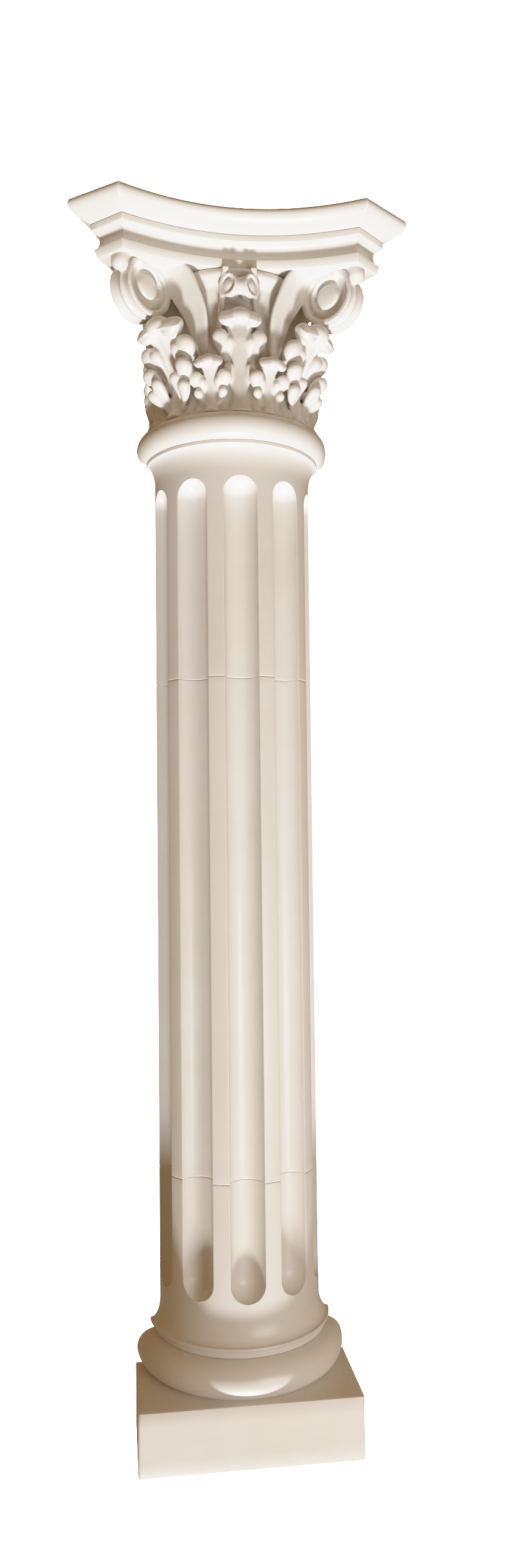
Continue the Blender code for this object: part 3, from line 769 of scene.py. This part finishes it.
def scroll_relief(share, turn):
    """Depth of a scroll's face as a share of its recess.

    The rim band narrows as it goes round. A second band leaves its end and winds into the
    eye, which is a low dome.
    """
    band = eased(share, 0.66 + 0.12 * turn, 0.74 + 0.12 * turn)
    winding = 0.70 - 0.30 * turn
    off_winding = np.abs(share - winding)
    inner_band = (1.0 - eased(off_winding, 0.04, 0.10)) * (1.0 - eased(turn, 0.35, 0.7))
    eye = 1.0 - eased(share, 0.40, 0.47)
    dome = 0.65 * np.sqrt(np.clip(1.0 - (share / 0.45) ** 2, 0.0, 1.0))
    raised = np.maximum(np.maximum(band, 0.8 * inner_band), 0.35 * eye)
    return np.clip(1.0 - raised - eye * dome, 0.0, 1.0)


def scroll(side, out, z, azimuth, radius, width, recess, start, hand):
    """Closed grid of a drum: face, rim and face. start and hand set where its band begins
    and which way it winds."""
    angle = np.linspace(0.0, 2 * np.pi, SCROLL_COLUMNS, endpoint=False)[None, :]
    turn = ((hand * (angle - start)) / (2 * np.pi)) % 1.0
    share = FACE_SHARES[:, None]
    sunk = recess * scroll_relief(share, turn)
    along_face = width / 2 - sunk - 1.5 * MM * eased(share, 0.97, 1.0)
    rim = np.linspace(-1.0, 1.0, 15)[1:-1, None]
    waist = 0.13 * (1.0 - rim ** 2) - 0.10 * np.exp(-(rim / 0.16) ** 2)
    rim_share = 1.0 - waist + 0 * angle
    along = np.concatenate([-along_face, rim * (width / 2 - 3 * MM) + 0 * angle, along_face[::-1]])
    shares = np.concatenate([share + 0 * angle, rim_share, share[::-1] + 0 * angle])
    s, o = turned(along, radius * shares * np.cos(angle), azimuth)
    return place(side + s, out + o, z + radius * shares * np.sin(angle))


# %% Stems, straps and tongues
def rib_round(azimuth, rows):
    """Rib rows from azimuth, distance from the axis, height and half-width."""
    angles, radii, heights, halves = np.array(rows, float).T
    a = np.radians(angles - azimuth)
    return np.stack([radii * np.sin(a), radii * np.cos(a), heights, halves], -1)


VOLUTE_SIDE, VOLUTE_OUT, VOLUTE_TURN = 0.196, 0.148, 48.0
VOLUTE_RADIUS, VOLUTE_WIDTH, VOLUTE_RECESS = 0.059, 0.057, 0.015
VOLUTE_DROP = 0.145
VOLUTE_Z = COLUMN_TOP - VOLUTE_DROP
VOLUTE_START = np.radians(60.0)
HELIX_SIDE, HELIX_OUT, HELIX_TURN = 0.0185, 0.182, -45.0
HELIX_RADIUS, HELIX_WIDTH, HELIX_RECESS = 0.0235, 0.024, 0.006
HELIX_Z = BELL_FOOT + 0.815 * BELL_HEIGHT
HELIX_START = np.radians(100.0)
# Azimuth, distance from the axis, height over the bell's foot and half-width along each band
STEM = ((50.0, 0.202, 0.300, 0.028), (44.0, 0.195, 0.294, 0.034), (37.5, 0.188, 0.276, 0.036),
        (33.0, 0.181, 0.246, 0.033), (28.5, 0.173, 0.208, 0.028), (27.0, 0.166, 0.165, 0.021),
        (26.0, 0.160, 0.11, 0.013))
SIDE_STEM = ((62.0, 0.215, 0.297, 0.028), (68.0, 0.200, 0.284, 0.026), (74.0, 0.188, 0.258, 0.023),
             (79.0, 0.178, 0.22, 0.018), (83.0, 0.170, 0.17, 0.013), (85.0, 0.164, 0.12, 0.008))
STRAP = ((8.5, 0.190, 0.292, 0.007), (10.0, 0.177, 0.262, 0.007), (12.5, 0.168, 0.215, 0.0065),
         (14.5, 0.164, 0.17, 0.006), (15.5, 0.161, 0.13, 0.005))
# Rows, azimuth of the middle, thickness and cup of the bands that run up to the scrolls
BANDS = ((STEM, 40.0, 11 * MM, 0.30), (SIDE_STEM, 75.0, 10 * MM, 0.18),
         (STRAP, 12.0, 4.5 * MM, 0.0))
# Tongues on the drums: sideways, outward, height over the bell's foot, of a drop's path
TONGUE = ((0.0, 0.232, 0.302), (0.0, 0.272, 0.308), (0.0, 0.302, 0.298), (0.0, 0.308, 0.270))
TONGUE_AZIMUTH, TONGUE_HEAD, TONGUE_TAIL = 51.0, 0.0200, 0.016


def mirrored(rows, side):
    """Rib rows for the left or the right half: the azimuth changes sign."""
    return [(side * azimuth, *rest) for azimuth, *rest in rows]


for side in (-1, 1):
    carved.append(scroll(side * VOLUTE_SIDE, VOLUTE_OUT, VOLUTE_Z, side * VOLUTE_TURN,
                         VOLUTE_RADIUS, VOLUTE_WIDTH, VOLUTE_RECESS, VOLUTE_START, 1.0))
    carved.append(scroll(side * HELIX_SIDE, HELIX_OUT, HELIX_Z, side * HELIX_TURN,
                         HELIX_RADIUS, HELIX_WIDTH, HELIX_RECESS, HELIX_START, 1.0))
    for rows, azimuth, thickness, cup in BANDS:
        rib = rib_round(side * azimuth, mirrored(rows, side))
        carved.append(petal(side * azimuth, rib, thickness, drop=0.0, cup=cup, fold=0.0,
                            squash=0.95))
    carved.append(drop_form(side * TONGUE_AZIMUTH, TONGUE, TONGUE_HEAD, TONGUE_TAIL, 0.80))
print("all the carving:", len(carved), "surfaces")

# %% [markdown]
# ## One casting
#
# On the real capital leaves, scrolls and bell are one skin of plaster, with soft corners
# where they meet. The separate surfaces are therefore fused: a voxel remesh wraps all of
# them in one closed skin, a light smoothing takes off the steps, flat parts give up some of
# their faces, and the crisp abacus joins them at the end.

# %% Fuse the carving
VOXEL = 2.3 * MM
FACES_KEPT = 0.45


def fused(name, grids):
    """One closed skin round many overlapping surfaces, flat underneath."""
    rough = add_piece(name + "_rough", grids)
    remesh = rough.modifiers.new("skin", "REMESH")
    remesh.mode = "VOXEL"
    remesh.voxel_size = VOXEL
    smooth = rough.modifiers.new("soft", "SMOOTH")
    smooth.factor = 0.5
    smooth.iterations = 2
    thin = rough.modifiers.new("fewer_faces", "DECIMATE")
    thin.ratio = FACES_KEPT
    evaluated = rough.evaluated_get(bpy.context.evaluated_depsgraph_get())
    mesh = bpy.data.meshes.new_from_object(evaluated)
    bpy.data.objects.remove(rough)
    points = np.empty(len(mesh.vertices) * 3)
    mesh.vertices.foreach_get("co", points)
    points = points.reshape(-1, 3)
    points[:, 2] = np.maximum(points[:, 2], BELL_FOOT)
    mesh.vertices.foreach_set("co", points.ravel())
    mesh.update()
    piece = bpy.data.objects.new(name, mesh)
    bpy.context.scene.collection.objects.link(piece)
    return piece


def joined(name, *parts):
    """Several meshes as the one mesh of one object."""
    with bpy.context.temp_override(active_object=parts[0], selected_editable_objects=list(parts)):
        bpy.ops.object.join()
    parts[0].name = name
    return parts[0]


carving = fused("carving", carved)
cut_at_wall(carving)
print("carving:", triangles(carving), "triangles")
abacus = add_piece("abacus", [abacus_grid()])
cut_at_wall(abacus)
capital_casting = joined("capital_casting", carving, abacus)
finish_piece(capital_casting, "capital")

# %% [markdown]
# ## Floor and light
#
# The photograph shows the column on pure white, lit from below: what is turned down shines,
# what is turned up lies in warm shade, and each scroll throws its shadow straight up. So
# the floor here works like a light table. It glows softly, and steep parallel light comes
# up through it from in front. The sky is a dim warm tan for the column, and white for the
# camera.

# %% Floor, sky and lamps
FLOOR_SIZE = 60.0
WARM_SKY = (0.268, 0.163, 0.066, 1.0)
FLOOR_COLOUR = (1.0, 0.74, 0.47, 1.0)
FLOOR_GLOW = 0.24
PAPER_WHITE = 8.0
UPLIGHT_STRENGTH = 3.15
UPLIGHT_COLOUR = (0.975, 1.0, 1.03)
UPLIGHT_HEIGHT, UPLIGHT_AZIMUTH, UPLIGHT_SPREAD = 66.0, 4.0, 7.0
FILL_POWER = 22.5
FILL_COLOUR = (1.0, 0.99, 0.965)
FILL_SIZE = 1.2
FILL_PLACE, FILL_TARGET = Vector((1.1, -2.1, 0.35)), Vector((0.0, 0.0, 0.5))


def two_ways(nodes, links, for_camera, for_others):
    """Shader that is one thing for the camera's rays and another for all the rest."""
    path = nodes.new("ShaderNodeLightPath")
    mix = nodes.new("ShaderNodeMixShader")
    links.new(path.outputs["Is Camera Ray"], mix.inputs["Fac"])
    links.new(for_others.outputs[0], mix.inputs[1])
    links.new(for_camera.outputs[0], mix.inputs[2])
    return mix.outputs["Shader"]


def light_source(nodes, kind, colour, strength):
    """Background or emission node of one colour and strength."""
    node = nodes.new(kind)
    node.inputs["Color"].default_value = colour
    node.inputs["Strength"].default_value = strength
    return node


def glowing_floor():
    """White floor that shines softly and lets the light from under it pass."""
    corners = np.array([(-1, -1), (1, -1), (1, 1), (-1, 1)]) * FLOOR_SIZE / 2
    mesh = bpy.data.meshes.new("floor")
    mesh.from_pydata([(x, y, 0.0) for x, y in corners.tolist()], [], [(0, 1, 2, 3)])
    floor = bpy.data.objects.new("floor", mesh)
    bpy.context.scene.collection.objects.link(floor)
    floor.visible_shadow = False
    material = bpy.data.materials.new("floor")
    material.use_nodes = True
    nodes, links = material.node_tree.nodes, material.node_tree.links
    paper = light_source(nodes, "ShaderNodeEmission", (1.0, 1.0, 1.0, 1.0), PAPER_WHITE)
    glow = light_source(nodes, "ShaderNodeEmission", FLOOR_COLOUR, FLOOR_GLOW)
    links.new(two_ways(nodes, links, paper, glow), nodes["Material Output"].inputs["Surface"])
    mesh.materials.append(material)


def warm_sky():
    """White where the camera looks past the column, dim warm tan where the column looks."""
    world = bpy.data.worlds.new("warm_sky")
    bpy.context.scene.world = world
    world.use_nodes = True
    nodes, links = world.node_tree.nodes, world.node_tree.links
    paper = light_source(nodes, "ShaderNodeBackground", (1.0, 1.0, 1.0, 1.0), PAPER_WHITE)
    tan = light_source(nodes, "ShaderNodeBackground", WARM_SKY, 1.0)
    links.new(two_ways(nodes, links, paper, tan), nodes["World Output"].inputs["Surface"])


def add_lamp(name, kind, power, colour, direction):
    """Lamp that shines in a direction."""
    data = bpy.data.lights.new(name, kind)
    data.energy = power
    data.color = colour
    lamp = bpy.data.objects.new(name, data)
    lamp.rotation_euler = direction.to_track_quat("-Z", "Y").to_euler()
    bpy.context.scene.collection.objects.link(lamp)
    return lamp


def uplight():
    """Parallel light that rises steeply towards the column from in front."""
    height, azimuth = np.radians([UPLIGHT_HEIGHT, UPLIGHT_AZIMUTH])
    rising = Vector((np.cos(height) * np.sin(azimuth), np.cos(height) * np.cos(azimuth),
                     np.sin(height)))
    lamp = add_lamp("uplight", "SUN", UPLIGHT_STRENGTH, UPLIGHT_COLOUR, rising)
    lamp.data.angle = np.radians(UPLIGHT_SPREAD)


def front_fill():
    """Wide and weak lamp low in front on the right, for the plinth and the lower shaft."""
    lamp = add_lamp("front_fill", "AREA", FILL_POWER, FILL_COLOUR, FILL_TARGET - FILL_PLACE)
    lamp.location = FILL_PLACE
    lamp.data.size = FILL_SIZE


glowing_floor()
warm_sky()
uplight()
front_fill()

# %% [markdown]
# ## Soft highlights
#
# A camera lets bright paint fade softly into white. A tone curve with a rounded shoulder
# does the same: it keeps the middle tones as they are and presses the light ones together,
# so that the lit leaves keep their shape.

# %% Tone curve
CURVE_WHITE = 4.0
# Light that comes in, and what it is shown as
SHOULDER = ((0.0, 0.0), (0.60, 0.60), (0.80, 0.775), (1.05, 0.90), (1.5, 0.965), (2.4, 0.99),
            (CURVE_WHITE, 1.0))


def soft_shoulder():
    """Set the view's tone curve through the points of the shoulder."""
    view = bpy.context.scene.view_settings
    view.view_transform = "Standard"
    view.use_curve_mapping = True
    tones = view.curve_mapping
    tones.white_level = (CURVE_WHITE,) * 3
    curve = tones.curves[3]
    curve.points[0].location = (0.0, 0.0)
    curve.points[-1].location = (1.0, 1.0)
    for light, shown in SHOULDER[1:-1]:
        curve.points.new(light / CURVE_WHITE, shown)
    tones.update()


soft_shoulder()

# %% [markdown]
# ## Camera
#
# The photograph was taken from just left of the middle, with the eye at about half the
# column's height and the camera almost level. Its place, turn and field come from fitting
# the plinth's corners, the ring curves and the abacus.

# %% Camera
EYE = (-0.2531, AXIS_Y - 2.2596, 1.1845)
EYE_AZIMUTH, EYE_PITCH, EYE_ROLL = 7.526, 2.745, -0.615
FOCAL_PIXELS = 1760.6
IMAGE_HEIGHT = 2576
SENSOR_HEIGHT = 36.0
FAR_CLIP = 200.0


def add_camera():
    """Camera from its place, azimuth from +Y towards +X, pitch, roll and focal length."""
    azimuth, pitch, roll = np.radians([EYE_AZIMUTH, EYE_PITCH, EYE_ROLL])
    ahead = np.array([np.sin(azimuth) * np.cos(pitch), np.cos(azimuth) * np.cos(pitch),
                      np.sin(pitch)])
    level = np.cross(ahead, [0.0, 0.0, 1.0])
    level /= np.linalg.norm(level)
    upward = np.cross(level, ahead)
    right = level * np.cos(roll) + upward * np.sin(roll)
    up = -level * np.sin(roll) + upward * np.cos(roll)
    data = bpy.data.cameras.new("photo_view")
    data.sensor_fit = "VERTICAL"
    data.sensor_height = SENSOR_HEIGHT
    data.lens = SENSOR_HEIGHT * FOCAL_PIXELS / IMAGE_HEIGHT
    data.clip_end = FAR_CLIP
    camera = bpy.data.objects.new("photo_view", data)
    rows = zip(np.stack([right, up, -ahead], 1), EYE)
    camera.matrix_world = Matrix([(*row, at) for row, at in rows] + [(0.0, 0.0, 0.0, 1.0)])
    bpy.context.scene.collection.objects.link(camera)
    bpy.context.scene.camera = camera
    return camera


photo_view = add_camera()
print("lens", round(photo_view.data.lens, 2), "mm on a", photo_view.data.sensor_height, "mm side")
